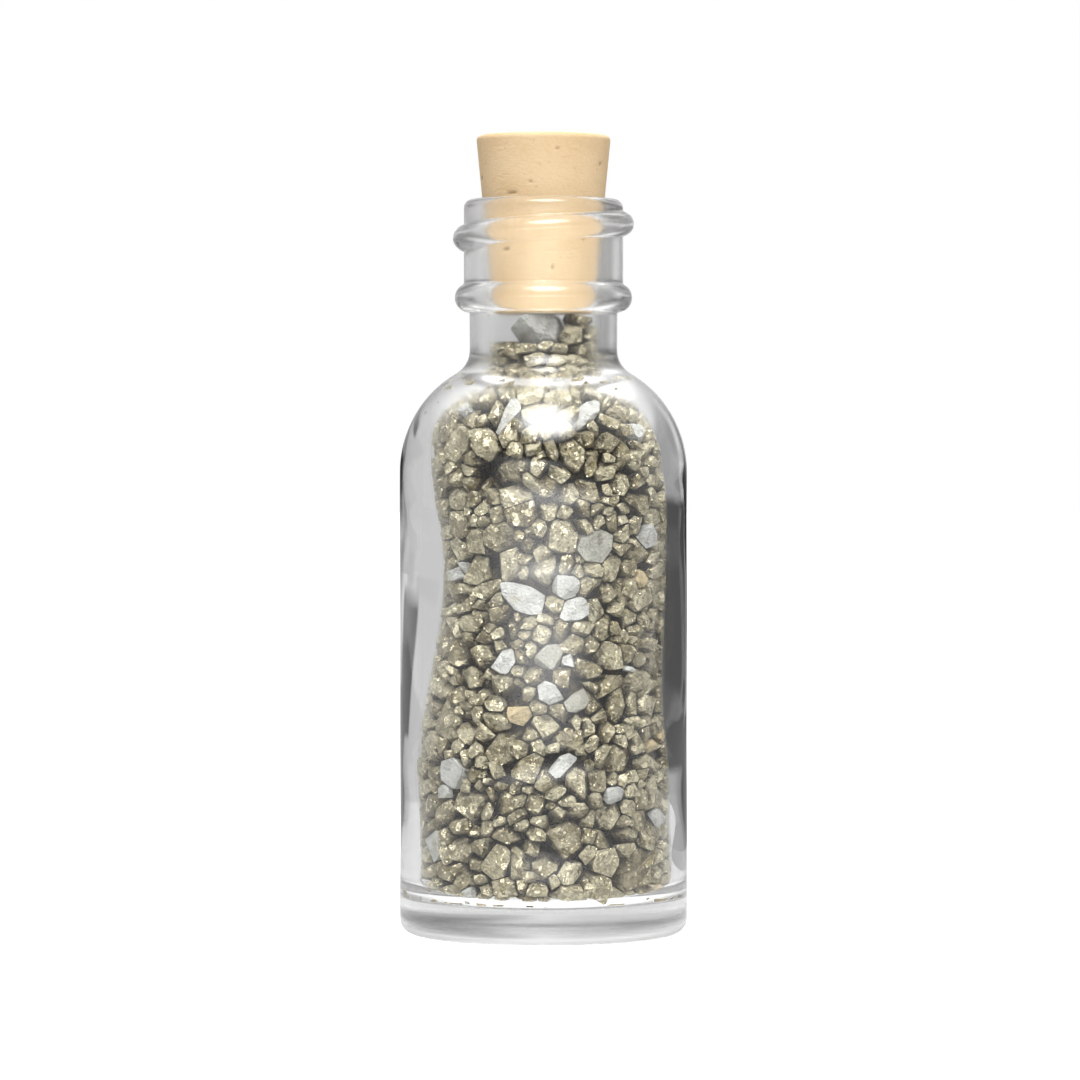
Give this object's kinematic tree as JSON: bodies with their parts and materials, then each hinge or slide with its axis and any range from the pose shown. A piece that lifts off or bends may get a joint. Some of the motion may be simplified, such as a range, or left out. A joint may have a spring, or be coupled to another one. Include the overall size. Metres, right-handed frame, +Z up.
{
  "type": "sample vial",
  "caption": "Round clear glass sample vial with a screw-thread neck, closed by a tapered cork and filled to the neck with crushed pyrite.",
  "frame": {"origin": "on the bottle's axis, in the plane it stands on", "axes": "+Z up the axis towards the mouth, -Y towards the side seen first; the ends of the neck thread are at +Y"},
  "size_m": [0.0316, 0.0316, 0.0876],
  "materials": {
    "clear_glass": "gloss",
    "cork": "matte",
    "pyrite": "satin",
    "quartz": "satin"
  },
  "bodies": {
    "vial": {"bottle": "clear_glass", "neck_stone": "pyrite", "neck_chips": "pyrite", "quartz_chips_lower": "quartz", "quartz_chips_upper": "quartz", "pyrite_layer_01": "pyrite", "pyrite_layer_02": "pyrite", "pyrite_layer_03": "pyrite", "pyrite_layer_04": "pyrite", "pyrite_layer_05": "pyrite", "pyrite_layer_06": "pyrite", "pyrite_layer_07": "pyrite", "pyrite_layer_08": "pyrite", "pyrite_layer_09": "pyrite", "pyrite_layer_10": "pyrite", "pyrite_layer_11": "pyrite", "pyrite_layer_12": "pyrite", "pyrite_layer_13": "pyrite", "pyrite_layer_14": "pyrite", "pyrite_layer_15": "pyrite", "pyrite_layer_16": "pyrite", "pyrite_layer_17": "pyrite", "pyrite_layer_18": "pyrite"},
    "stopper": {"cork_stopper": "cork"}
  },
  "joints": [
    {"name": "stopper_pull", "type": "slide", "parent": "vial", "child": "stopper", "axis": [0, 0, 1], "range_m": [0, 0.03]}
  ]
}
